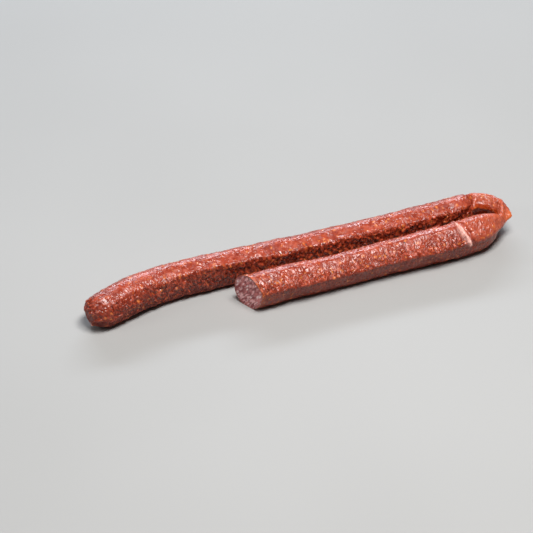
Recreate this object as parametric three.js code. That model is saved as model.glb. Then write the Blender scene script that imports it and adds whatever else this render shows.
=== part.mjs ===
// A dried cured sausage in natural casing. It hung over a rod while it dried, so it is folded once into
// two legs that lie side by side, and one leg has been cut short with a knife.
// Units are millimetres and +Z is up. The legs run along X with the fold at +X, the cut leg lies at -Y,
// and the sausage rests on Z = 0 with its origin at the middle of its underside.
import * as THREE from "three";

// Driving dimensions
const CASING = 30; // usual diameter of the dried casing
const LEG_SPACING = 34; // between the centre lines of the two legs beside the fold
const LONG_LEG = 373.5; // from the fold's outer edge to the tied end, in plan
const CUT_LEG = 241.3; // from the fold's outer edge to the middle of the cut face
const REST_DEPTH = 0.8; // how much of the round underside is pressed flat

// The knife went through at a slant: X moves by these shares of Y and of Z across the cut face
const CUT_LEAN_ACROSS = -0.47;
const CUT_LEAN_UP = 0.05;
const CUT_SHEAR_RUN = 34; // length of leg over which the rings turn to the cut's slant

// Mesh fineness
const SEGMENTS = 24; // vertices round the casing
const STEP_LEG = 3.3; // ring spacing along the legs
const STEP_FOLD = 1.75; // ring spacing round the fold and its creases
const STEP_TIP = 1.5; // ring spacing over the tied end
const CUT_RINGS = [0.93, 0.7, 0.4]; // inner rings of the cut face, as shares of its outline

// Tied end
const TIP_ROUND = 14; // length over which the end closes to a round cap
const TIP_KNOT = 0.09; // radius of the tied knot, as a share of the end's radius
const PUCKERS = 9; // gathers of casing that run into the knot
const PUCKER_DEPTH = 0.07;
const KNOT_TOWARD = 236; // the knot lies off the middle, in this direction: low on the inner side
const KNOT_SHIFT = 8.6;
const END_LEAN = 0.31; // the end's slant towards the knot, and the length of leg that it takes
const END_LEAN_RUN = 26;

const HALF = LEG_SPACING / 2;
const radians = THREE.MathUtils.degToRad;
const smoothstep = THREE.MathUtils.smoothstep;

// The centre line in plan, from the tied end round the fold to the cut, as
// [distance back from the fold, place across, width, height, height of the underside].
// Widths and heights are shares of CASING.
const STATIONS = [
  [LONG_LEG, 5.6, 0.87, 0.86, 0],
  [LONG_LEG - 10, 5.9, 0.93, 0.93, 0],
  [LONG_LEG - 24, 9.0, 1.01, 1.01, 0],
  [LONG_LEG - 42, 15.0, 1.04, 1.03, 0],
  [LONG_LEG - 64, 19.6, 1.02, 1.02, 0],
  [286, 21.4, 1.01, 1.01, 0],
  [262, 21.2, 1.03, 1.02, 0],
  [240, 20.6, 1.01, 1.01, 0],
  [195, 19.3, 1.02, 1.0, 0],
  [135, 17.8, 1.0, 1.0, 0],
  [95, HALF + 0.3, 1.01, 1.01, 0],
  [60, HALF + 0.8, 1.02, 1.02, 0],
  [42, HALF + 1.2, 1.02, 1.03, 0],
  [33.5, HALF + 2.6, 0.92, 1.02, 0],
  [28, HALF + 4.7, 0.66, 0.99, 0],
  [17.5, HALF + 4.2, 0.53, 0.95, 0.5],
  [8.6, HALF - 1.4, 0.5, 0.88, 2.2],
  [4.5, HALF - 8.8, 0.42, 0.77, 4.2],
  [4.0, 0.5, 0.28, 0.62, 7.2],
  [7.5, -6.3, 0.31, 0.58, 6.0],
  [14.5, -10.6, 0.56, 0.8, 3.4],
  [23.5, -13.0, 0.82, 0.98, 0.9],
  [35, -15.0, 0.99, 1.07, 0],
  [46, -HALF + 0.9, 1.03, 1.07, 0],
  [60, -HALF + 0.4, 1.03, 1.03, 0],
  [88, -HALF + 0.4, 1.0, 1.01, 0],
  [115, -HALF + 0.8, 0.97, 0.99, 0],
  [144, -HALF, 0.93, 0.97, 0],
  [168, -HALF, 0.94, 0.97, 0],
  [200, -HALF + 0.4, 0.99, 1.0, 0],
  [226, -HALF, 0.99, 1.01, 0],
  [CUT_LEG, -HALF, 0.98, 1.02, 0],
];

// A dried casing isn't round: it settles into faces with soft ridges between them.
// Each face is [direction in degrees from the outer side over the top, distance as a share of the radius].
const CUT_LEG_FACES = [
  [-16, 0.86],
  [56, 0.84],
  [100, 0.95],
  [138, 0.98],
  [180, 0.96],
  [222, 0.96],
  [270, 0.99],
  [318, 0.93],
];
const LONG_LEG_FACES = [
  [0, 0.97],
  [45, 0.97],
  [76, 0.96],
  [110, 0.94],
  [181, 0.77],
  [228, 0.94],
  [270, 0.99],
  [315, 0.97],
];
const ARCH_FACES = [
  [0, 0.97],
  [50, 0.97],
  [85, 0.94],
  [120, 0.86],
  [206, 0.74],
  [270, 0.97],
  [315, 0.97],
];
const LEG_SHARPNESS = 18; // how crisp the ridges between the faces are
const ARCH_SHARPNESS = 26;
const FACES_START = 20; // the end beside the knot stays round this far
const FACES_FULL = 150;
const FACES_TO_CREASE = 5; // the long leg's faces end this close to its crease
const ARCH_RISE = 8; // run over which the arch's faces come, past the crease
const ARCH_FALL = 14; // run over which they go again, before the fold's outer edge
const CUT_FADE = 30; // run over which the cut leg rounds off a little towards the cut
const CUT_FADE_SHARE = 0.4;

// Uneven filling: [wave length along the sausage in mm, waves round the casing, depth share, phase]
const LUMPS = [
  [61, 1, 0.012, 0.4],
  [37, 2, 0.011, 2.1],
  [23, 3, 0.01, 4.4],
  [17, 2, 0.008, 1.3],
  [13, 4, 0.008, 5.2],
];

// Creases where the casing kinked: a valley across the casing, with a ridge of bunched casing beside it.
// Depths and heights are shares of the radius. Runs are in mm along the casing.
const LONG_CREASE_DEPTH = 0.27;
const LONG_CREASE_RUNS = [3.2, 2.2]; // of its banks, before and past the foot
const LONG_CREASE_SLANT = 7; // how far the foot strays towards the fold over the top
const CUFF_HEIGHT = 0.06; // on the long leg, before the valley
const CUFF_BEFORE = 4.5;
const CUFF_RUN = 3;
const CUT_CREASE_DEPTH = 0.1;
const CUT_CREASE_RUN = 1.9;
const CUT_CREASE_SLANT = 3.8;
const WELT_HEIGHT = 0.1; // on the cut leg, past the valley
const WELT_PAST = 3.4;
const WELT_RUNS = [1.7, 2.2];
const WELT_MIDDLE = 55; // the welt and its valley lie over the top, about this direction
const WELT_FADE = [0.2, 0.6]; // and end where the cosine from that direction falls between these
const PINCH_DEPTH = 0.22; // the fold's inner side, where it turns
const PINCH_RUN = 3;
const PINCH_FROM = 0.2; // cosine from the inner side at which it begins

// The fold's outermost corner, near its top, and how the fold is drawn in below it
const CORNER_REACH = 0.92; // share of the radius
const CORNER_RUNS = [9, 2.6];
const CORNER_AT = 16; // direction, in degrees
const CORNER_SPREADS = [0.16, 0.34]; // below and above it, in radians
const LEAN_DEPTH = 6; // mm
const LEAN_PAST = 4;
const LEAN_RUN = 13;
const LEAN_NONE = 0.27; // sine of the direction above which the fold isn't drawn in
const LEAN_FULL = -0.2;

const centreLine = new THREE.CatmullRomCurve3(
  STATIONS.map(([back, across, , , low]) => new THREE.Vector3(-back, across, low - REST_DEPTH)),
);
centreLine.arcLengthDivisions = 2000;
const sectionSizes = new THREE.CatmullRomCurve3(
  STATIONS.map(([, , wide, tall]) => new THREE.Vector3(wide * CASING, tall * CASING, 0)),
);
const total = centreLine.getLength();

// Distance along the centre line to where it passes a station
function distanceTo(index) {
  const lengths = centreLine.getLengths();
  const at = (index / (STATIONS.length - 1)) * (lengths.length - 1);
  return lengths[Math.round(at)];
}

// Where the casing kinked against the rod, and the fold's outer edge, as distances from the tied end
const LONG_CREASE = distanceTo(13) + 2.2;
const CUT_CREASE = distanceTo(23) + 2.9;
const FOLD_EDGE = distanceTo(18) + 5.5;

// Radius share of a rounded polygon of faces, in the direction theta
function facetedRadius(theta, faces, sharpness) {
  let sum = 0;
  for (const [direction, distance] of faces) {
    const facing = Math.max(0, Math.cos(theta - radians(direction))) / distance;
    sum += facing ** sharpness;
  }
  return sum ** (-1 / sharpness);
}

const KNOT_WAY = new THREE.Vector2(Math.cos(radians(KNOT_TOWARD)), Math.sin(radians(KNOT_TOWARD)));

function bump(x, width) {
  return Math.exp(-((x / width) ** 2));
}

// The smallest angle between two directions, signed
function turn(theta, degrees) {
  return Math.atan2(Math.sin(theta - radians(degrees)), Math.cos(theta - radians(degrees)));
}

// The faces of the casing at distance s, as a change to the radius: it is round at the tied end
function faceChange(s, theta) {
  const longEnd = LONG_CREASE - FACES_TO_CREASE;
  const longLeg = smoothstep(s, FACES_START, FACES_FULL) * (1 - smoothstep(s, longEnd, LONG_CREASE));
  const archStart = smoothstep(s, LONG_CREASE, LONG_CREASE + ARCH_RISE);
  const arch = archStart * (1 - smoothstep(s, FOLD_EDGE - ARCH_FALL, FOLD_EDGE));
  const cutFade = 1 - CUT_FADE_SHARE * smoothstep(s, total - CUT_FADE, total);
  const cutLeg = smoothstep(s, FOLD_EDGE, CUT_CREASE) * cutFade;
  return (
    longLeg * (facetedRadius(theta, LONG_LEG_FACES, LEG_SHARPNESS) - 1) +
    arch * (facetedRadius(theta, ARCH_FACES, ARCH_SHARPNESS) - 1) +
    cutLeg * (facetedRadius(theta, CUT_LEG_FACES, LEG_SHARPNESS) - 1)
  );
}

function lumps(s, theta) {
  let sum = 0;
  for (const [length, waves, depth, phase] of LUMPS) {
    sum += depth * Math.sin((2 * Math.PI * s) / length + phase) * Math.cos(waves * theta + phase * 1.7);
    sum += 0.5 * depth * Math.sin((3.3 * s) / length - waves * theta + phase);
  }
  return sum;
}

// A hill whose two banks have runs of their own
function slope(past, [before, after]) {
  return bump(past, past < 0 ? before : after);
}

// How far the casing dips at its creases, as a share of the radius: less than nothing where it bunches up
function creaseDip(s, theta) {
  const inner = (0.5 - 0.5 * Math.cos(theta)) ** 1.3;
  const pastLong = s - LONG_CREASE - LONG_CREASE_SLANT * Math.max(0, Math.sin(theta));
  const longDip = LONG_CREASE_DEPTH * slope(pastLong, LONG_CREASE_RUNS);
  const cuff = CUFF_HEIGHT * bump(pastLong + CUFF_BEFORE, CUFF_RUN);
  const top = smoothstep(Math.cos(turn(theta, WELT_MIDDLE)), ...WELT_FADE);
  const pastCut = s - CUT_CREASE + CUT_CREASE_SLANT * Math.cos(theta);
  const cutDip = CUT_CREASE_DEPTH * bump(pastCut, CUT_CREASE_RUN);
  const welt = WELT_HEIGHT * slope(pastCut - WELT_PAST, WELT_RUNS);
  const pinch = PINCH_DEPTH * bump(s - FOLD_EDGE, PINCH_RUN) * smoothstep(-Math.cos(theta), PINCH_FROM, 1);
  return inner * (longDip - cuff) + top * (cutDip - welt) + pinch;
}

// The fold's outer edge is drawn out to a corner near its top
function foldCorner(s, theta) {
  return CORNER_REACH * slope(s - FOLD_EDGE, CORNER_RUNS) * slope(turn(theta, CORNER_AT), CORNER_SPREADS);
}

// Below that corner the fold is drawn in, as it hung with the corner outermost. In mm, inward.
function foldLean(s, theta) {
  const along = bump(s - FOLD_EDGE - LEAN_PAST, LEAN_RUN);
  return LEAN_DEPTH * along * (1 - smoothstep(Math.sin(theta), LEAN_FULL, LEAN_NONE));
}

// The round cap that closes the tied end, and the gathers that run into its knot
function tipClosure(s) {
  const d = Math.min(s / TIP_ROUND, 1);
  return TIP_KNOT + (1 - TIP_KNOT) * (1 - (1 - d) ** 2.3) ** (1 / 2.1);
}

function tipPuckers(s, theta) {
  const near = bump(s - 5, 6.5);
  return -PUCKER_DEPTH * near * (0.5 + 0.5 * Math.cos(PUCKERS * theta + 0.8 * Math.sin(2 * theta)));
}

// How far each point of the first rings is moved along the leg, so that the tied end faces down
function endShear(s, reach, rise) {
  const share = 1 - smoothstep(s, 0, END_LEAN_RUN);
  return share * END_LEAN * (reach * KNOT_WAY.x + rise * KNOT_WAY.y);
}

// How far each point of the last rings is moved along the leg, so that the leg ends in the slanting cut
function cutShear(s, across, up) {
  const share = smoothstep(s, total - CUT_SHEAR_RUN, total);
  return share * (CUT_LEAN_ACROSS * across + CUT_LEAN_UP * up);
}

// One ring of the casing: the vertical section square to the centre line, at distance s along it
function ring(s) {
  const t = centreLine.getUtoTmapping(s / total);
  const centre = centreLine.getPoint(t);
  const sizes = sectionSizes.getPoint(t);
  const run = centreLine.getTangent(t);
  const outward = new THREE.Vector2(-run.y, run.x).normalize();
  const closure = tipClosure(s);
  const toKnot = KNOT_WAY.clone().multiplyScalar(KNOT_SHIFT * (1 - closure) ** 2);
  const points = [];
  for (let i = 0; i < SEGMENTS; i++) {
    const theta = (2 * Math.PI * i) / SEGMENTS;
    const relief = lumps(s, theta) + tipPuckers(s, theta) + foldCorner(s, theta) - creaseDip(s, theta);
    const radius = 1 + faceChange(s, theta) + relief;
    const reach = (sizes.x / 2) * radius * closure * Math.cos(theta) - foldLean(s, theta) + toKnot.x;
    const rise = (sizes.y / 2) * radius * closure * Math.sin(theta) + toKnot.y;
    const x = centre.x + outward.x * reach;
    const y = centre.y + outward.y * reach;
    const z = Math.max(0, centre.z + sizes.y / 2 + rise);
    const shift = cutShear(s, y + HALF, z - CASING / 2) + endShear(s, reach, rise);
    points.push(new THREE.Vector3(x + shift, y, z));
  }
  return points;
}

// Ring places: close together over the tied end, the creases and the fold, further apart along the legs
function ringPlaces() {
  const places = [];
  for (let s = 0; s < total; ) {
    places.push(s);
    const toFold = Math.max(LONG_CREASE - 14 - s, s - CUT_CREASE - 14, 0);
    const legStep = STEP_FOLD + (STEP_LEG - STEP_FOLD) * smoothstep(toFold, 0, 25);
    const tipStep = STEP_TIP + (STEP_LEG - STEP_TIP) * smoothstep(s, 12, 34);
    s += Math.min(legStep, tipStep);
  }
  const spare = total - places.at(-1);
  if (spare < STEP_LEG / 2) places.pop();
  places.push(total);
  return places;
}

function middle(points) {
  return points.reduce((sum, p) => sum.add(p), new THREE.Vector3()).divideScalar(points.length);
}

// The closed skin: rings joined by triangles, a fan over the knot and smaller rings over the cut face
function sausageGeometry() {
  const rings = ringPlaces().map(ring);
  const cutEdge = rings.at(-1);
  const cutMiddle = middle(cutEdge);
  for (const share of CUT_RINGS) {
    rings.push(cutEdge.map((p) => cutMiddle.clone().lerp(p, share)));
  }
  const vertices = rings.flat();
  const knot = vertices.push(middle(rings[0])) - 1;
  const cutCentre = vertices.push(cutMiddle) - 1;

  const triangles = [];
  const last = rings.length - 1;
  for (let i = 0; i < SEGMENTS; i++) {
    const next = (i + 1) % SEGMENTS;
    triangles.push(knot, next, i);
    triangles.push(cutCentre, last * SEGMENTS + i, last * SEGMENTS + next);
    for (let r = 0; r < last; r++) {
      const a = r * SEGMENTS;
      const b = a + SEGMENTS;
      triangles.push(a + i, b + next, b + i);
      triangles.push(a + i, a + next, b + next);
    }
  }
  const geometry = new THREE.BufferGeometry();
  geometry.setAttribute(
    "position",
    new THREE.Float32BufferAttribute(vertices.flatMap((v) => v.toArray()), 3),
  );
  geometry.setIndex(triangles);
  geometry.computeBoundingBox();
  const box = geometry.boundingBox;
  geometry.translate(-(box.min.x + box.max.x) / 2, -(box.min.y + box.max.y) / 2, -box.min.z);
  geometry.computeVertexNormals();
  return geometry;
}

const casing = new THREE.MeshStandardMaterial({ color: 0xa8402e, roughness: 0.42, metalness: 0 });
const sausage = new THREE.Mesh(sausageGeometry(), casing);
sausage.name = "sausage";

const group = new THREE.Group();
group.add(sausage);

export default group;
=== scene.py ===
"""The looks of a dried sausage: its wrinkled casing, its cut end, its light and its camera."""
import math

import bpy
import numpy as np
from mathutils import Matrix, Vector


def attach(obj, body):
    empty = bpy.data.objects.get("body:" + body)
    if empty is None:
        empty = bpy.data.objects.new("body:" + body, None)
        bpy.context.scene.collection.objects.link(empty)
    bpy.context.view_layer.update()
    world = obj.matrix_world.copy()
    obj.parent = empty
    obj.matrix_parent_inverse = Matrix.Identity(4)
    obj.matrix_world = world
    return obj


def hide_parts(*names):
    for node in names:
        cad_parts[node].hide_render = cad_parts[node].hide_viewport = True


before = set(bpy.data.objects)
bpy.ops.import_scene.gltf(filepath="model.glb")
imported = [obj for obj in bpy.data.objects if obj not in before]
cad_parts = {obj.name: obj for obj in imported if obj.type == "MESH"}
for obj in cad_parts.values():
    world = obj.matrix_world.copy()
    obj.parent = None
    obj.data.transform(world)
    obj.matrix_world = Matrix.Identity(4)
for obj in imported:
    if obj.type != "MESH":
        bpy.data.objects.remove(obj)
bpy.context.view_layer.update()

MM = 0.001

# The camera stands as in the photograph, in the frame of the part
VIEW_TURN = math.radians(-22.352)
VIEW_HEIGHT = math.radians(36.588)
VIEW_AIM = Vector((-21.52, 26.06, 0.0)) * MM
VIEW_DISTANCE = 2341.8 * MM
VIEW_LENS = 189.7
VIEW_SENSOR = 36

# The cut face: its middle, and the way that it looks
CUT_MIDDLE = Vector((-55.9, -18.7, 14.5)) * MM
CUT_WAY = Vector((-1.0, -0.47, 0.05)).normalized()
FACES_CUT = 0.995  # a face of the cut looks along the cut's way by more than this share
CUT_REACH = 1 * MM  # and its middle lies this near the cut's plane
NEAR_CUT = 30 * MM  # the distance to the cut's edge is worked out up to here
KNOT = Vector((-185.7, -0.3, 6.2)) * MM  # where the tied end is gathered

# Where the casing kinked, as X of its centre line, and how far each crease strays round it
LONG_CREASE_AT = 154.1 * MM
LONG_CREASE_SLANT = 7.0 * MM
CUT_CREASE_AT = 136.6 * MM
CUT_CREASE_SLANT = 3.8 * MM
CREASE_FOOT = (2.6 * MM, 1.3 * MM)  # depth and width of the long leg's crease
CREASE_BANK = (0.9 * MM, 2.0 * MM)  # height and width of the bank before it
CREASE_BANK_BEFORE = 3.4 * MM
WELT_PAST = 3.4 * MM  # a welt of bunched casing lies this far past the cut leg's crease
WELT_WIDTH = 2.0 * MM
WELT_RISE = 1.6 * MM  # how much higher its low end is than its top
WELT_SUNK = 0.9 * MM  # how far its top lies under the solid's surface
BEFORE_WELT = (1.1 * MM, 1.2 * MM)  # depth and width of the crease before the welt
BEFORE_WELT_BY = 3.2 * MM
BESIDE_WELT = (0.6 * MM, 0.8 * MM)  # depth and width of the crease past it
BESIDE_WELT_BY = 2.9 * MM

# Spots of the fold that are drawn out or in: height and radius
CORNER = Vector((187.0, -10.9, 19.2)) * MM  # the fold's outermost point
CORNER_WAY = Vector((0.96, -0.28, 0.0))
CORNER_OUT = (1.0 * MM, 1.6 * MM)
SHOULDER = Vector((183.0, 3.5, 25.0)) * MM  # the bulge between the arch and the corner
SHOULDER_WAY = Vector((0.62, 0.15, 0.77))
SHOULDER_OUT = (2.2 * MM, 6.0 * MM)
UNDER_CORNER = CORNER - Vector((2, 3, 7)) * MM
UNDER_CORNER_IN = (1.8 * MM, 4.0 * MM)

# Directions round the casing are degrees from its outer side, over the top
RADIUS = 15 * MM  # turns degrees round a leg into a distance
LONG_RIDGE = 138
CUT_RIDGE = 17
ARCH_RIDGE = 150

# The crests along the ridges: height, and width in degrees round the casing
LONG_CREST = (1.1 * MM, 11)
CUT_CREST = (1.2 * MM, 9)
ARCH_CREST = (1.7 * MM, 13)

# The hollows past two of them: degrees past the crest, depth, and width in degrees
LONG_HOLLOW = (26, 0.2 * MM, 18)
ARCH_HOLLOW = (44, 2.6 * MM, 24)

# Dents beside the long leg's crease: mm before the crease, direction, radius in mm, mm inward
DENTS = [
    (22.0, 134, 4.2, 1.9),
    (14.0, 122, 5.5, -1.0),
    (12.0, 166, 3.6, 1.3),
    (6.0, 147, 4.6, 1.9),
    (31.0, 152, 3.8, 1.4),
    (39.0, 131, 4.5, 1.0),
    (52.0, 150, 4.8, 1.2),
    (66.0, 136, 3.6, 1.0),
]

MERGE_WITHIN = 0.001 * MM  # points of the solid that lie this near each other are one
FORM_ROUNDS = 4  # how often the coarse mesh is drawn out to hold the solid's form
FINER = 2  # how often each quad of the solid is divided in four

# The order of the skin's materials
CASING_FIRST = 0
MEAT_SECOND = 1

# How deep each kind of relief is
LUMP_DEPTH = 0.5 * MM
PIT_DEPTH = 1.5 * MM
WRINKLE_DEPTH = 2.8 * MM
GATHER_DEPTH = 2.7 * MM
MEAT_DEPTH = 0.6 * MM
CASING_BUMP = 0.5 * MM
MEAT_BUMP = 0.5 * MM


def smooth_rise(value, start, end):
    """0 before start and 1 after end, with an even rise between them."""
    share = np.clip((value - start) / (end - start), 0, 1)
    return share * share * (3 - 2 * share)


def select_only(piece):
    bpy.ops.object.select_all(action="DESELECT")
    piece.select_set(True)
    bpy.context.view_layer.objects.active = piece


def places(piece):
    found = np.empty(len(piece.data.vertices) * 3)
    piece.data.vertices.foreach_get("co", found)
    return found.reshape(-1, 3)


def facings(piece):
    found = np.empty(len(piece.data.vertices) * 3)
    piece.data.vertices.foreach_get("normal", found)
    return found.reshape(-1, 3)


def keep_values(piece, name, values):
    """Stores one number for each vertex, which a material can read."""
    attribute = piece.data.attributes.new(name, "FLOAT", "POINT")
    attribute.data.foreach_set("value", values.astype(np.float32))


# The skin


def copied_solid():
    """A copy of the solid with one point at each place, and with both finishes."""
    skin = bpy.data.objects.new("sausage_skin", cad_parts["sausage"].data.copy())
    bpy.context.scene.collection.objects.link(skin)
    select_only(skin)
    bpy.ops.mesh.customdata_custom_splitnormals_clear()
    skin.data.materials.clear()
    skin.data.materials.append(casing_finish())
    skin.data.materials.append(meat_finish())
    bpy.ops.object.mode_set(mode="EDIT")
    bpy.ops.mesh.select_all(action="SELECT")
    bpy.ops.mesh.remove_doubles(threshold=MERGE_WITHIN)
    bpy.ops.mesh.select_mode(type="EDGE")
    bpy.ops.mesh.select_all(action="DESELECT")
    bpy.ops.object.mode_set(mode="OBJECT")
    return skin


def set_off_cut(skin):
    """Gives the cut face the finish of the meat, and a crisp edge."""
    for face in skin.data.polygons:
        from_cut = abs((face.center - CUT_MIDDLE).dot(CUT_WAY))
        on_cut = face.normal.dot(CUT_WAY) > FACES_CUT and from_cut < CUT_REACH
        face.material_index = MEAT_SECOND if on_cut else CASING_FIRST
        face.select = on_cut
    bpy.ops.object.mode_set(mode="EDIT")
    bpy.ops.mesh.select_mode(type="FACE")
    bpy.ops.mesh.region_to_loop()
    bpy.ops.transform.edge_crease(value=1.0)
    bpy.ops.mesh.select_mode(type="VERT")
    bpy.ops.object.mode_set(mode="OBJECT")


def skin_from_solid():
    """A finer copy of the solid, in even quads, with a crisp edge round the cut face."""
    skin = copied_solid()
    way = follow_casing(skin)
    set_off_cut(skin)
    subdivide = skin.modifiers.new("Subdivision", "SUBSURF")
    subdivide.levels = FINER
    subdivide.render_levels = FINER
    hold_form(skin)
    bpy.ops.object.modifier_apply(modifier=subdivide.name)
    for face in skin.data.polygons:
        face.use_smooth = True
    return skin, way


def rings_from_knot(mesh):
    """The ring of each vertex, counted from the knot, where the end's edges meet."""
    beside = [[] for _ in mesh.vertices]
    for edge in mesh.edges:
        first, second = edge.vertices
        beside[first].append(second)
        beside[second].append(first)
    busiest = sorted(range(len(beside)), key=lambda index: -len(beside[index]))[:2]
    knot = min(busiest, key=lambda index: (mesh.vertices[index].co - KNOT).length)
    rings = np.full(len(beside), -1)
    rings[knot] = 0
    reached = [knot]
    while reached:
        touched = {other for index in reached for other in beside[index]}
        following = sorted(other for other in touched if rings[other] < 0)
        rings[following] = rings[reached[0]] + 1
        reached = following
    return rings


def select_diagonals(mesh, rings, turned):
    """Each point has two edges to the next ring. The one that turns further round is a diagonal."""
    onward = {}
    for edge in mesh.edges:
        first, second = sorted(edge.vertices, key=lambda index: rings[index])
        edge.select = False
        if 0 < rings[first] < rings[second] < rings.max():
            gap = (turned[second] - turned[first] + math.pi) % (2 * math.pi) - math.pi
            onward.setdefault(first, []).append((gap, edge.index))
    for pair in onward.values():
        mesh.edges[max(pair)[1]].select = True


def follow_casing(skin):
    """Turns the triangles into quads, and keeps each vertex's place along and round the casing."""
    at = places(skin)
    rings = rings_from_knot(skin.data)
    centres = np.array([at[rings == ring].mean(axis=0) for ring in range(rings.max() + 1)])
    steps = np.linalg.norm(np.diff(centres, axis=0), axis=1)
    lengths = np.concatenate([[0], np.cumsum(steps)])
    runs = np.gradient(centres, axis=0)
    last = np.nonzero(steps > 0.5 * MM)[0].max()
    runs[last + 1 :] = runs[last]
    outward = np.stack([-runs[:, 1], runs[:, 0]], axis=1)
    outward /= np.linalg.norm(outward, axis=1)[:, None]
    arm = at - centres[rings]
    turned = np.arctan2(arm[:, 2], (arm[:, :2] * outward[rings]).sum(axis=1))
    keep_values(skin, "along", lengths[rings])
    keep_values(skin, "round_cos", np.cos(turned))
    keep_values(skin, "round_sin", np.sin(turned))
    select_diagonals(skin.data, rings, turned)
    bpy.ops.object.mode_set(mode="EDIT")
    bpy.ops.mesh.dissolve_edges(use_verts=False)
    bpy.ops.mesh.select_all(action="DESELECT")
    bpy.ops.object.mode_set(mode="OBJECT")
    return {"centres": centres, "lengths": lengths, "end": lengths[last]}


def hold_form(skin):
    """Draws the coarse mesh out, so that its smooth surface passes the solid's points."""
    wanted = places(skin)
    for _ in range(FORM_ROUNDS):
        seen = skin.evaluated_get(bpy.context.evaluated_depsgraph_get())
        smoothed = places(seen)[: len(wanted)]
        drawn = places(skin) + (wanted - smoothed)
        skin.data.vertices.foreach_set("co", drawn.ravel())
        skin.data.update()


def values_of(skin, name):
    found = np.empty(len(skin.data.vertices))
    skin.data.attributes[name].data.foreach_get("value", found)
    return found


def along_at(way, x, last=False):
    """Distance along the casing to where its centre line first, or last, passes x."""
    passed = np.nonzero(way["centres"][:, 0] >= x)[0]
    return way["lengths"][passed[-1] if last else passed[0]]


def degrees_from(turned, degrees):
    """How far round the casing a point lies from a direction, in degrees from -180 to 180."""
    return (np.degrees(turned) - degrees + 180) % 360 - 180


def valley(distance, depth, width):
    """A sharp valley: depth at its foot, with its banks falling off over the width."""
    return -depth * np.exp(-np.abs(distance) / width)


def crest(distance, height, width):
    """A sharp crest: height at its top, with its sides falling off over the width."""
    return -valley(distance, height, width)


def hill(distance, height, width):
    return height * np.exp(-((distance / width) ** 2))


def hollow(distance, past, depth, width):
    """A soft hollow, past the middle of what the distance is measured from."""
    return hill(distance - past, -depth, width)


def round_casing(skin):
    """Each vertex's direction round the casing, in radians from its outer side, over the top."""
    return np.arctan2(values_of(skin, "round_sin"), values_of(skin, "round_cos"))


def past_creases(skin, way):
    """How far each vertex lies past the long leg's crease, and past the cut leg's."""
    along = values_of(skin, "along")
    turned = round_casing(skin)
    slant = LONG_CREASE_SLANT * np.maximum(0, np.sin(turned))
    past_long = along - along_at(way, LONG_CREASE_AT) - slant
    past_cut = along - along_at(way, CUT_CREASE_AT, last=True) + CUT_CREASE_SLANT * np.cos(turned)
    return past_long, past_cut


def over_welt(turned):
    """The welt lies over the front and the top of the cut leg."""
    return smooth_rise(np.cos(turned - math.radians(55)), 0.55, 0.8)


def past_welt(turned, past_cut):
    """How far each vertex lies past the middle of the welt, which is straight on the flat top."""
    return past_cut - WELT_PAST - hill(np.degrees(turned) - 55, 2.0 * MM, 32)


def ridge_move(skin, past_long, past_cut):
    """Uneven crests along the ridges of both legs, and the hollow under the long leg's ridge."""
    along = values_of(skin, "along")
    turned = round_casing(skin)
    waver = 4 * np.sin(along / (17 * MM)) + 3 * np.sin(along / (6.1 * MM))
    uneven = 0.75 + 0.35 * np.sin(along / (9 * MM)) + 0.3 * np.sin(along / (3.7 * MM) + 1)
    to_cut = along.max() - along
    on_long = smooth_rise(along, 25 * MM, 60 * MM) * smooth_rise(-past_long, 0, 6 * MM)
    on_cut = smooth_rise(past_cut, 5 * MM, 10 * MM) * smooth_rise(to_cut, 12 * MM, 16 * MM)
    from_long = degrees_from(turned, LONG_RIDGE) + waver
    from_cut = degrees_from(turned, CUT_RIDGE) + 0.6 * waver
    long_crest = crest(from_long, *LONG_CREST) + hollow(from_long, *LONG_HOLLOW)
    on_arch = smooth_rise(past_long, 2 * MM, 7 * MM) * smooth_rise(-past_cut, 18 * MM, 30 * MM)
    from_arch = degrees_from(turned, ARCH_RIDGE) + 0.5 * waver
    arch_crest = crest(from_arch, *ARCH_CREST) + hollow(from_arch, *ARCH_HOLLOW)
    cut_crest = crest(from_cut, *CUT_CREST)
    long_move = on_long * uneven * long_crest
    cut_move = on_cut * uneven * cut_crest
    arch_move = on_arch * uneven * arch_crest
    return long_move + cut_move + arch_move


def crease_move(skin, past_long, past_cut):
    """A sharp foot in both creases, and a crisp welt beside the cut leg's."""
    turned = round_casing(skin)
    inner = smooth_rise(-np.cos(turned), -0.6, 0.4)
    foot = valley(past_long, *CREASE_FOOT) + hill(past_long + CREASE_BANK_BEFORE, *CREASE_BANK)
    from_welt = past_welt(turned, past_cut)
    low = smooth_rise(math.radians(92) - turned, 0, 0.45)
    welt = hill(from_welt, WELT_RISE * low - WELT_SUNK, WELT_WIDTH)
    before = valley(from_welt + BEFORE_WELT_BY, *BEFORE_WELT)
    beside = valley(from_welt - BESIDE_WELT_BY, *BESIDE_WELT)
    return inner * foot + over_welt(turned) * (welt + before + beside)


def dent_move(skin, past_long):
    turned = round_casing(skin)
    move = np.zeros(len(turned))
    for before, direction, radius, depth in DENTS:
        across = np.radians(degrees_from(turned, direction)) * RADIUS
        apart = np.hypot(past_long + before * MM, across) / (radius * MM)
        move -= depth * MM * np.exp(-(apart**2))
    return move


def apart_from(at, spot):
    return np.linalg.norm(at - np.array(spot), axis=1)


def drawn_out(at, spot, way, height, width):
    """How far each point moves where a spot of the casing is drawn out."""
    return hill(apart_from(at, spot), height, width)[:, None] * np.array(way)


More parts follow.
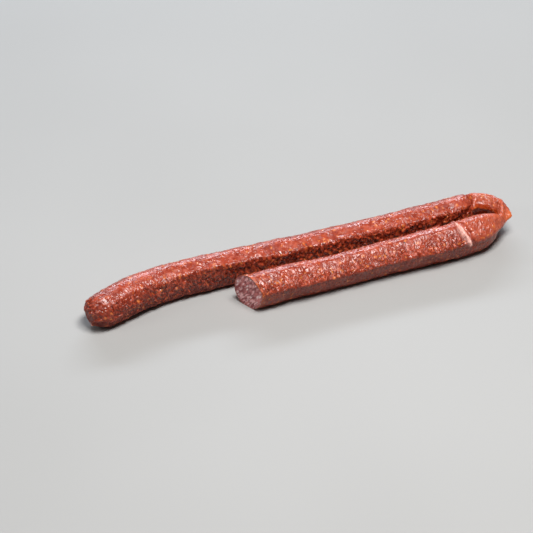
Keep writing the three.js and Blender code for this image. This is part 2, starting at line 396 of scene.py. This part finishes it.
def shape_ridges(skin, way):
    """Sharpens the solid's ridges, creases and corner, and dents the casing beside the fold."""
    past_long, past_cut = past_creases(skin, way)
    at = places(skin)
    move = ridge_move(skin, past_long, past_cut) + crease_move(skin, past_long, past_cut)
    move += dent_move(skin, past_long)
    moved = at + facings(skin) * move[:, None]
    moved += drawn_out(at, CORNER, CORNER_WAY, *CORNER_OUT)
    moved += drawn_out(at, SHOULDER, SHOULDER_WAY, *SHOULDER_OUT)
    moved -= drawn_out(at, UNDER_CORNER, CORNER_WAY, *UNDER_CORNER_IN)
    skin.data.vertices.foreach_set("co", moved.ravel())
    skin.data.update()
    keep_places(skin, at, past_long, past_cut)


def keep_places(skin, at, past_long, past_cut):
    """Keeps where the welt, the knot, the fold and the flanks are, for the colours, which paint a
    highlight on the welt, light on the fold, shade in the hollow and on the flanks, and a highlight
    on the sheltered wall.
    """
    turned = round_casing(skin)
    # Where the welt's painted highlight goes
    on_welt = np.minimum(1, hill(past_welt(turned, past_cut), 1.5, WELT_WIDTH))
    keep_values(skin, "welt", on_welt * over_welt(turned))
    keep_values(skin, "to_knot", apart_from(at, KNOT) / MM)
    fold = smooth_rise(past_long, -2 * MM, 4 * MM) * smooth_rise(-past_cut, -2 * MM, 4 * MM)
    inner = smooth_rise(-np.cos(turned), 0.3, 0.85)
    arch = smooth_rise(-past_cut, 14 * MM, 28 * MM)
    # Painted light: where the fold's outer side is painted lighter, most of all on the arch
    keep_values(skin, "fold", fold * (1 - inner) * (0.45 + 0.55 * arch))
    # Painted shade: where the hollow under the arch gets the colour of its shade
    keep_values(skin, "hollow", fold * inner)
    keep_values(skin, "corner", hill(apart_from(at, CORNER), 1, 5 * MM))
    sheltered = smooth_rise(at[:, 0], CUT_MIDDLE.x - 5 * MM, CUT_MIDDLE.x + 25 * MM)
    sheltered *= smooth_rise(-past_long, 0, 4 * MM)
    wall = sheltered * smooth_rise(-np.cos(turned), 0.1, 0.6)
    # Painted shade: the casing is painted darker where it faces down, less so on the sheltered wall
    # and past the long leg's crease
    below = smooth_rise(-facings(skin)[:, 2], -0.2, 0.35)
    beyond = smooth_rise(past_long, 0, 10 * MM)
    keep_values(skin, "shaded_flank", below * (1 - wall) * (1 - 0.45 * beyond))
    # Where the sheltered wall, on its faces that do not look up, gets a painted highlight
    keep_values(skin, "wall", wall * smooth_rise(-facings(skin)[:, 2], -0.8, -0.3))


def cut_vertices(skin):
    """Which vertices lie on the cut face, and which of these are on its edge."""
    on_cut = np.zeros(len(skin.data.vertices), bool)
    on_casing = np.zeros(len(skin.data.vertices), bool)
    for face in skin.data.polygons:
        side = on_cut if face.material_index == MEAT_SECOND else on_casing
        side[list(face.vertices)] = True
    return on_cut, on_cut & on_casing


def distance_to(points, targets):
    """Distance from each point to the nearest of the targets."""
    nearest = np.full(len(points), np.inf)
    for target in targets:
        nearest = np.minimum(nearest, np.linalg.norm(points - target, axis=1))
    return nearest


def paint_group(skin, name, weights):
    group = skin.vertex_groups.new(name=name)
    for index in np.nonzero(weights > 0.001)[0]:
        group.add([int(index)], float(weights[index]), "REPLACE")


def push_out(skin, group, depth, middle, texture, stretch=(1, 1, 1)):
    """Moves the skin in and out along its normals by a texture, stretched along X, Y and Z."""
    guide = bpy.data.objects.new("texture_guide", None)
    bpy.context.scene.collection.objects.link(guide)
    guide.scale = stretch
    bpy.context.view_layer.update()
    select_only(skin)
    push = skin.modifiers.new("Push", "DISPLACE")
    push.texture = texture
    push.texture_coords = "OBJECT"
    push.texture_coords_object = guide
    push.vertex_group = group
    push.strength = depth
    push.mid_level = middle
    bpy.ops.object.modifier_apply(modifier=push.name)
    bpy.data.objects.remove(guide)


def puffs(name, size):
    """A texture of soft puffs with sharp valleys between them."""
    texture = bpy.data.textures.new(name, "CLOUDS")
    texture.noise_scale = size
    texture.noise_depth = 1
    texture.noise_type = "HARD_NOISE"
    texture.noise_basis = "IMPROVED_PERLIN"
    return texture


def swells(name, size):
    texture = bpy.data.textures.new(name, "CLOUDS")
    texture.noise_scale = size
    texture.noise_depth = 1
    texture.noise_basis = "IMPROVED_PERLIN"
    return texture


def paint_wrinkle_places(skin, way, off_cut):
    """Marks where the casing is lumpy, pitted, wrinkled or gathered into the knot."""
    at = places(skin)
    facing = facings(skin)
    past_long, past_cut = past_creases(skin, way)
    turned = round_casing(skin)
    free = smooth_rise(at[:, 2], 0.3 * MM, 4 * MM) * off_cut
    near_knot = 1 - smooth_rise(at[:, 0], -183 * MM, -160 * MM)
    top = smooth_rise(facing[:, 2], 0.55, 0.95)
    on_long = smooth_rise(-past_long, -2 * MM, 3 * MM)
    on_cut = smooth_rise(past_cut, 0, 8 * MM)
    fold = (1 - on_long) * (1 - on_cut)
    round_inside = (np.degrees(turned) - LONG_RIDGE + 12) % 360
    band = smooth_rise(round_inside, 0, 14) * smooth_rise(110 - round_inside, 0, 30)
    beside_crease = hill(past_long + 20 * MM, 1, 26 * MM)
    outer_back = smooth_rise(np.cos(turned), 0.2, 0.9)
    front_ridge = hill(degrees_from(turned, CUT_RIDGE + 16), 1, 26)
    share = on_long * (0.15 + (0.7 + 0.25 * beside_crease) * band + 0.15 * outer_back)
    share += on_cut * (0.15 + 0.25 * front_ridge) + 0.15 * fold
    paint_group(skin, "lumpy", free * (1 - 0.7 * fold) * (1 - near_knot))
    paint_group(skin, "pitted", free * (1 - 0.6 * top) * (1 - 0.75 * near_knot) * (1 - 0.35 * fold))
    crumpled = on_long * band * (0.7 + 0.3 * beside_crease) + 0.8 * on_cut * front_ridge
    keep_values(skin, "crumpled", np.clip(crumpled * (1 - 0.6 * near_knot), 0, 1))
    paint_group(skin, "wrinkled", np.clip(free * share * (1 - near_knot), 0, 1))
    paint_group(skin, "gathered", free * near_knot)


def relieve_casing(skin, way):
    """Gives the casing the relief that it dried into, and keeps how far each point stands out."""
    on_cut, on_edge = cut_vertices(skin)
    at = places(skin)
    edge = at[on_edge][::2]
    near_cut = apart_from(at, CUT_MIDDLE) < NEAR_CUT
    to_edge = np.full(len(at), NEAR_CUT)
    to_edge[near_cut] = distance_to(at[near_cut], edge)
    off_cut = np.where(on_cut, 0, smooth_rise(to_edge, 0.2 * MM, 2.5 * MM))
    facing = facings(skin)
    paint_wrinkle_places(skin, way, off_cut)
    paint_group(skin, "meat", np.where(on_cut, smooth_rise(to_edge, 0.3 * MM, 1.5 * MM), 0))
    push_out(skin, "lumpy", LUMP_DEPTH, 0.5, swells("lumps", 17 * MM))
    push_out(skin, "pitted", PIT_DEPTH, 0.3, puffs("pits", 4.2 * MM))
    push_out(skin, "wrinkled", WRINKLE_DEPTH, 0.3, puffs("wrinkles", 3.6 * MM), (1, 1.5, 1.5))
    push_out(skin, "gathered", GATHER_DEPTH, 0.3, puffs("gathers", 3.9 * MM), (2.8, 1, 1))
    push_out(skin, "meat", MEAT_DEPTH, 0.5, swells("meat_lumps", 3.2 * MM))
    moved = places(skin)
    moved[:, 2] = np.maximum(moved[:, 2], 0)
    skin.data.vertices.foreach_set("co", moved.ravel())
    skin.data.update()
    keep_values(skin, "stands_out", ((moved - at) * facing).sum(axis=1) / MM)
    keep_values(skin, "to_edge", to_edge / MM)
    skin.vertex_groups.clear()


# Finishes


class Nodes:
    """Adds nodes to one node tree. A value is a number, a colour or another node's socket."""

    def __init__(self, tree):
        self.tree = tree

    def add(self, kind, inputs, output=0, **settings):
        made = self.tree.nodes.new(kind)
        for name, value in settings.items():
            setattr(made, name, value)
        for name, value in inputs.items():
            self.feed(made.inputs[name], value)
        return made.outputs[output]

    def feed(self, socket, value):
        if isinstance(value, bpy.types.NodeSocket):
            self.tree.links.new(value, socket)
        elif isinstance(value, tuple) and len(value) == 3 and socket.type == "RGBA":
            socket.default_value = (*value, 1)
        else:
            socket.default_value = value

    def noise(self, vector, size, detail=2, rough=0.5, warp=0):
        inputs = {"Vector": vector, "Scale": 1 / size, "Detail": detail}
        inputs.update({"Roughness": rough, "Distortion": warp})
        return self.add("ShaderNodeTexNoise", inputs)

    def maths(self, operation, first, second=0):
        return self.add("ShaderNodeMath", {0: first, 1: second}, operation=operation)

    def sum(self, first, second):
        return self.maths("ADD", first, second)

    def times(self, first, second):
        return self.maths("MULTIPLY", first, second)

    def vector_maths(self, operation, inputs):
        return self.add("ShaderNodeVectorMath", inputs, operation=operation)

    def spread(self, value, low, high, to_low=0, to_high=1):
        """Turns a value from low to high into one from to_low to to_high, with soft ends."""
        inputs = {"Value": value, "From Min": low, "From Max": high}
        inputs.update({"To Min": to_low, "To Max": to_high})
        return self.add("ShaderNodeMapRange", inputs, interpolation_type="SMOOTHSTEP")

    def blend(self, factor, first, second):
        """Mixes two colours, by the mix node's inputs 6 and 7 and its output 2."""
        inputs = {0: factor, 6: first, 7: second}
        return self.add("ShaderNodeMix", inputs, output=2, data_type="RGBA")

    def tinted(self, colour, mask, share, paint):
        """The colour, with paint over it where the mask is, as a share of the mask."""
        return self.blend(self.times(mask, share), colour, paint)

    def value_at(self, name):
        """The number that keep_values stored under this name."""
        return self.add("ShaderNodeAttribute", {}, output=2, attribute_name=name)

    def stretched(self, vector, scale, turn=(0, 0, 0), shift=(0, 0, 0)):
        inputs = {"Vector": vector, "Location": shift, "Rotation": turn, "Scale": scale}
        return self.add("ShaderNodeMapping", inputs)


WOBBLE_FINER = 2.3  # how much finer the wobble of a fleck's edge is than the spacing


def fleck_group():
    """Ragged flecks of fat, paprika or pepper at random. Share says how many places have one."""
    group = bpy.data.node_groups.new("flecks", "ShaderNodeTree")
    group.interface.new_socket("Vector", in_out="INPUT", socket_type="NodeSocketVector")
    for name in ("Spacing", "Radius", "Share", "Ragged"):
        group.interface.new_socket(name, in_out="INPUT", socket_type="NodeSocketFloat")
    group.interface.new_socket("Mask", in_out="OUTPUT", socket_type="NodeSocketFloat")
    nodes = Nodes(group)
    given = group.nodes.new("NodeGroupInput").outputs
    scale = nodes.maths("DIVIDE", 1.0, given["Spacing"])
    finer = nodes.times(scale, WOBBLE_FINER)
    wobble = nodes.add("ShaderNodeTexNoise", {"Vector": given["Vector"], "Scale": finer}, output=1)
    centred = nodes.vector_maths("SUBTRACT", {0: wobble, 1: (0.5, 0.5, 0.5)})
    reach = nodes.times(given["Ragged"], given["Spacing"])
    moved = nodes.vector_maths("SCALE", {0: centred, "Scale": reach})
    place = nodes.vector_maths("ADD", {0: given["Vector"], 1: moved})
    cells = nodes.tree.nodes.new("ShaderNodeTexVoronoi")
    nodes.feed(cells.inputs["Vector"], place)
    nodes.feed(cells.inputs["Scale"], scale)
    chance = nodes.add("ShaderNodeSeparateColor", {"Color": cells.outputs["Color"]})
    chosen = nodes.maths("LESS_THAN", chance, given["Share"])
    apart = nodes.maths("DIVIDE", cells.outputs["Distance"], given["Radius"])
    inside = nodes.spread(apart, 1.0, 0.25)
    out = group.nodes.new("NodeGroupOutput")
    nodes.feed(out.inputs["Mask"], nodes.times(inside, chosen))
    return group


def flecks(nodes, vector, spacing, radius, share, ragged=0.6):
    """Radius is a share of the spacing."""
    made = nodes.tree.nodes.new("ShaderNodeGroup")
    made.node_tree = bpy.data.node_groups.get("flecks") or fleck_group()
    given = {"Vector": vector, "Spacing": spacing, "Radius": radius}
    given.update({"Share": share, "Ragged": ragged})
    for name, value in given.items():
        nodes.feed(made.inputs[name], value)
    return made.outputs["Mask"]


def new_finish(name):
    """A material with its Principled shader, its nodes, and the part's coordinates in metres."""
    material = bpy.data.materials.new(name)
    material.use_nodes = True
    tree = material.node_tree
    shader = tree.nodes["Principled BSDF"]
    nodes = Nodes(tree)
    here = nodes.add("ShaderNodeTexCoord", {}, output=3)
    return material, shader, nodes, here


BRICK = (0.45, 0.060, 0.024)
DEEP_RED = (0.28, 0.031, 0.013)
SALMON = (0.56, 0.125, 0.068)
# The dark red of the painted shade on the flanks that face down; also used to make the tied end
# darker towards the knot
PAINTED_SHADE_AND_KNOT_RED = (0.13, 0.008, 0.003)
MOTTLE = (0.24, 0.030, 0.018)
# Painted shade in the valleys of the relief and of the fine folds
VALLEY_SHADE = (0.16, 0.015, 0.006)
# Painted light on the fold's outer side, most on the arch
FOLD_PAINTED_LIGHT = (0.64, 0.135, 0.064)
# Painted highlight on the sheltered wall and on the crests of the fine folds
PAINTED_HIGHLIGHT_RED = (0.72, 0.112, 0.044)
# The deep orange-brown painted for the shade in the hollow under the arch
HOLLOW_SHADE_RED = (0.46, 0.052, 0.004)
PAPRIKA = (0.78, 0.170, 0.034)
FAT_ORANGE = (0.80, 0.235, 0.060)
PEPPER = (0.060, 0.048, 0.050)
# The welt's painted highlight, also used for the paler nub at the knot
WELT_HIGHLIGHT_AND_NUB_PINK = (0.96, 0.500, 0.420)

# Painted light and shade by place on the casing, how strongly and with what, one over the other:
# light on the fold, shade on the flanks that face down, the shade's colour in the hollow, and a
# highlight on the sheltered wall
PAINTED_LIGHT_AND_SHADE = [
    ("fold", 0.6, FOLD_PAINTED_LIGHT),
    ("shaded_flank", 0.95, PAINTED_SHADE_AND_KNOT_RED),
    ("hollow", 0.9, HOLLOW_SHADE_RED),
    ("wall", 0.8, PAINTED_HIGHLIGHT_RED),
]

CASING_IOR = 1.5
FLANK_DULLER = 0.45  # how much rougher the lowest flanks are than the tops
FOLD_DEPTH = 3.2  # the fine wrinkles' depth, where that of the pits is PIT_SHARE
PIT_SHARE = 0.8
STREAK_LEAN = math.radians(-42)  # how far the streaks in the cut face lean
STREAK_STRETCH = 0.24


def fine_folds(nodes, here):
    """0 on the crests of the short wrinkles across the legs, and more in their valleys."""
    across = nodes.stretched(here, (1.0, 0.62, 0.62))
    wrinkles = nodes.noise(across, 3.1 * MM, 1, 0.4, 0.9)
    return nodes.maths("ABSOLUTE", nodes.sum(wrinkles, -0.5))


def red_with_painted_light_and_shade(nodes, here):
    """The mottled red of the casing, with painted light on the fold and the sheltered wall, and
    painted shade on the flanks that face down and in the hollow.
    """
    patches = nodes.spread(nodes.noise(here, 14 * MM, 3, 0.6), 0.35, 0.68)
    grain = nodes.spread(nodes.noise(here, 3.2 * MM, 2, 0.5, 0.4), 0.4, 0.7)
    colour = nodes.blend(patches, DEEP_RED, BRICK)
    colour = nodes.tinted(colour, grain, 0.6, SALMON)
    for name, share, paint in PAINTED_LIGHT_AND_SHADE:
        colour = nodes.tinted(colour, nodes.value_at(name), share, paint)
    mottle = nodes.spread(nodes.noise(here, 3.0 * MM, 1, 0.5, 0.4), 0.5, 0.68)
    return nodes.tinted(colour, mottle, 0.5, MOTTLE)


def shaded_relief(nodes, here, colour):
    """Paints shade into the valleys of the relief and highlights onto the crests of the fine folds,
    and warms the colour where the relief stands out.
    """
    out = nodes.value_at("stands_out")
    # Painted shade in the valleys of the relief
    colour = nodes.blend(nodes.spread(out, 0.05, -0.6, 0, 0.8), colour, VALLEY_SHADE)
    folded = fine_folds(nodes, here)
    crumpled = nodes.value_at("crumpled")
    # Painted shade in the valleys of the fine folds where the casing is crumpled
    between = nodes.times(nodes.spread(folded, 0.04, 0.15), crumpled)
    colour = nodes.tinted(colour, between, 0.8, VALLEY_SHADE)
    crests = nodes.spread(folded, 0.05, 0.0)
    # Painted highlights on the crests of the fine folds, on the shaded flanks and where the casing
    # is crumpled
    colour = nodes.tinted(colour, nodes.times(crests, nodes.value_at("shaded_flank")), 0.6, PAINTED_HIGHLIGHT_RED)
    colour = nodes.tinted(colour, nodes.times(crests, crumpled), 0.55, PAINTED_HIGHLIGHT_RED)
    uneven = nodes.spread(nodes.noise(here, 4 * MM), 0.45, 0.65)
    glow = nodes.times(nodes.spread(out, 0.2, 0.7), uneven)
    return nodes.tinted(colour, glow, 0.65, PAPRIKA)


def casing_colour(nodes, here):
    """The casing's red, with its spots, what is different at the cut and the knot, and the painted
    highlight on the welt.
    """
    colour = shaded_relief(nodes, here, red_with_painted_light_and_shade(nodes, here))
    broken = nodes.spread(nodes.noise(here, 1.8 * MM), 0.42, 0.6)
    rim = nodes.times(nodes.spread(nodes.value_at("to_edge"), 4.2, 0.6), broken)
    colour = nodes.tinted(colour, rim, 0.6, PAPRIKA)
    specks = flecks(nodes, here, 2.8 * MM, 0.45, 0.22)
    colour = nodes.tinted(colour, specks, 0.5, PAPRIKA)
    colour = nodes.tinted(colour, nodes.value_at("corner"), 0.7, PAPRIKA)
    fat = flecks(nodes, here, 4.4 * MM, 0.4, 0.3, 0.9)
    colour = nodes.tinted(colour, fat, 0.75, FAT_ORANGE)
    to_knot = nodes.value_at("to_knot")
    # Darker towards the knot, in the dark red of the flanks' painted shade
    colour = nodes.blend(nodes.spread(to_knot, 26, 5, 0, 0.6), colour, PAINTED_SHADE_AND_KNOT_RED)
    # Paler at the knot's nub, in the pale pink of the welt's painted highlight
    colour = nodes.blend(nodes.spread(to_knot, 2.4, 1.2, 0, 0.8), colour, WELT_HIGHLIGHT_AND_NUB_PINK)
    shifted = nodes.stretched(here, (1, 1, 1), shift=(0.31, 0.17, 0.05))
    pepper = flecks(nodes, shifted, 7 * MM, 0.17, 0.3, 0.3)
    colour = nodes.tinted(colour, pepper, 0.9, PEPPER)
    # Painted highlight: the welt is painted pale pink, in patches
    patchy = nodes.spread(nodes.noise(here, 1.8 * MM, 3), 0.3, 0.55, 0.4, 1)
    return nodes.blend(nodes.times(nodes.value_at("welt"), patchy), colour, WELT_HIGHLIGHT_AND_NUB_PINK)


def casing_height(nodes, here):
    """The fine relief: short wrinkles across the legs, and small pits."""
    folded = fine_folds(nodes, here)
    pits = nodes.noise(here, 2.6 * MM, 1, 0.4)
    fine = nodes.sum(nodes.times(folded, -FOLD_DEPTH), nodes.times(pits, PIT_SHARE))
    worn = nodes.spread(nodes.noise(here, 16 * MM, 1), 0.4, 0.6, 0.5, 0.95)
    return nodes.times(fine, nodes.sum(worn, nodes.times(nodes.value_at("crumpled"), 1.7)))


def casing_finish():
    material, shader, nodes, here = new_finish("dried_casing")
    nodes.feed(shader.inputs["Base Color"], casing_colour(nodes, here))
    rough = nodes.spread(nodes.noise(here, 5 * MM, 3, 0.6), 0.35, 0.65, 0.2, 0.36)
    duller = nodes.spread(nodes.value_at("shaded_flank"), 0.4, 1, 0, FLANK_DULLER)
    nodes.feed(shader.inputs["Roughness"], nodes.sum(rough, duller))
    height = casing_height(nodes, here)
    bump = nodes.add("ShaderNodeBump", {"Strength": 1.0, "Distance": CASING_BUMP, "Height": height})
    nodes.feed(shader.inputs["Normal"], bump)
    shader.inputs["IOR"].default_value = CASING_IOR
    return material


MEAT = (0.66, 0.200, 0.195)
MEAT_DARK = (0.29, 0.050, 0.052)
MEAT_PINK = (0.90, 0.500, 0.500)
FAT_PALE = (1.0, 0.780, 0.770)
RIM = (0.62, 0.180, 0.050)


def meat_finish():
    material, shader, nodes, here = new_finish("cut_meat")
    leaning = nodes.stretched(here, (1, 1, 1), turn=(STREAK_LEAN, 0, 0))
    smeared = nodes.stretched(leaning, (1.0, 1.0, STREAK_STRETCH))
    grain = nodes.spread(nodes.noise(smeared, 2.6 * MM, 3, 0.6, 0.6), 0.4, 0.6)
    pale = nodes.spread(nodes.noise(smeared, 2.1 * MM, 2, 0.6, 0.3), 0.51, 0.6)
    to_edge = nodes.value_at("to_edge")
    colour = nodes.blend(grain, MEAT_DARK, MEAT)
    colour = nodes.tinted(colour, pale, 0.95, MEAT_PINK)
    colour = nodes.blend(flecks(nodes, smeared, 2.2 * MM, 0.44, 0.5, 0.3), colour, FAT_PALE)
    colour = nodes.blend(nodes.spread(to_edge, 2.6, 0.6, 0, 0.75), colour, MEAT_DARK)
    colour = nodes.blend(nodes.spread(to_edge, 0.75, 0.35), colour, RIM)
    nodes.feed(shader.inputs["Base Color"], colour)
    nodes.feed(shader.inputs["Roughness"], nodes.spread(grain, 0, 1, 0.5, 0.36))
    height = nodes.sum(grain, nodes.times(pale, 0.5))
    bump = nodes.add("ShaderNodeBump", {"Strength": 1.0, "Distance": MEAT_BUMP, "Height": height})
    nodes.feed(shader.inputs["Normal"], bump)
    return material


# Floor, light and camera


FLOOR_DARKER = (0.385, 0.378, 0.366)
FLOOR_PALER = (0.405, 0.398, 0.386)


def floor_finish():
    material, shader, nodes, here = new_finish("pale_floor")
    tone = nodes.spread(nodes.noise(here, 0.4, 2), 0.3, 0.7)
    nodes.feed(shader.inputs["Base Color"], nodes.blend(tone, FLOOR_DARKER, FLOOR_PALER))
    shader.inputs["Roughness"].default_value = 0.8
    return material


def lay_floor():
    bpy.ops.object.select_all(action="DESELECT")
    bpy.ops.mesh.primitive_plane_add(size=12)
    floor = bpy.context.object
    floor.name = "floor"
    floor.data.materials.append(floor_finish())


def soft_box(name, place, aim, width, height, power, tint=(1, 1, 1)):
    light = bpy.data.lights.new(name, "AREA")
    light.shape = "RECTANGLE"
    light.size = width
    light.size_y = height
    light.energy = power
    light.color = tint
    box = bpy.data.objects.new(name, light)
    bpy.context.scene.collection.objects.link(box)
    box.location = place
    box.rotation_euler = (Vector(place) - Vector(aim)).to_track_quat("Z", "Y").to_euler()


def light_studio():
    world = bpy.data.worlds.new("pale_room")
    world.use_nodes = True
    room = world.node_tree.nodes["Background"].inputs
    room["Color"].default_value = (1.0, 0.985, 0.97, 1)
    room["Strength"].default_value = 0.06
    bpy.context.scene.world = world
    soft_box("back_light", (0.35, 1.5, 0.78), (0, 0, 0), 1.6, 0.18, 22, (0.80, 0.89, 1.0))
    soft_box("top_light", (0.12, -0.35, 1.48), (0, 0, 0), 0.8, 0.5, 31)
    soft_box("side_light", (-1.5, 0.1, 0.9), (0, 0, 0), 0.5, 0.5, 4)


def place_camera():
    camera = bpy.data.objects.new("camera", bpy.data.cameras.new("camera"))
    bpy.context.scene.collection.objects.link(camera)
    level = math.cos(VIEW_HEIGHT)
    side, front = math.sin(VIEW_TURN) * level, -math.cos(VIEW_TURN) * level
    back = Vector((side, front, math.sin(VIEW_HEIGHT)))
    camera.location = VIEW_AIM + back * VIEW_DISTANCE
    camera.rotation_euler = back.to_track_quat("Z", "Y").to_euler()
    camera.data.lens = VIEW_LENS
    camera.data.sensor_width = VIEW_SENSOR
    bpy.context.scene.camera = camera


bpy.context.scene.view_settings.view_transform = "Standard"
skin, way = skin_from_solid()
shape_ridges(skin, way)
relieve_casing(skin, way)
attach(skin, "root")
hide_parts("sausage")
lay_floor()
light_studio()
place_camera()
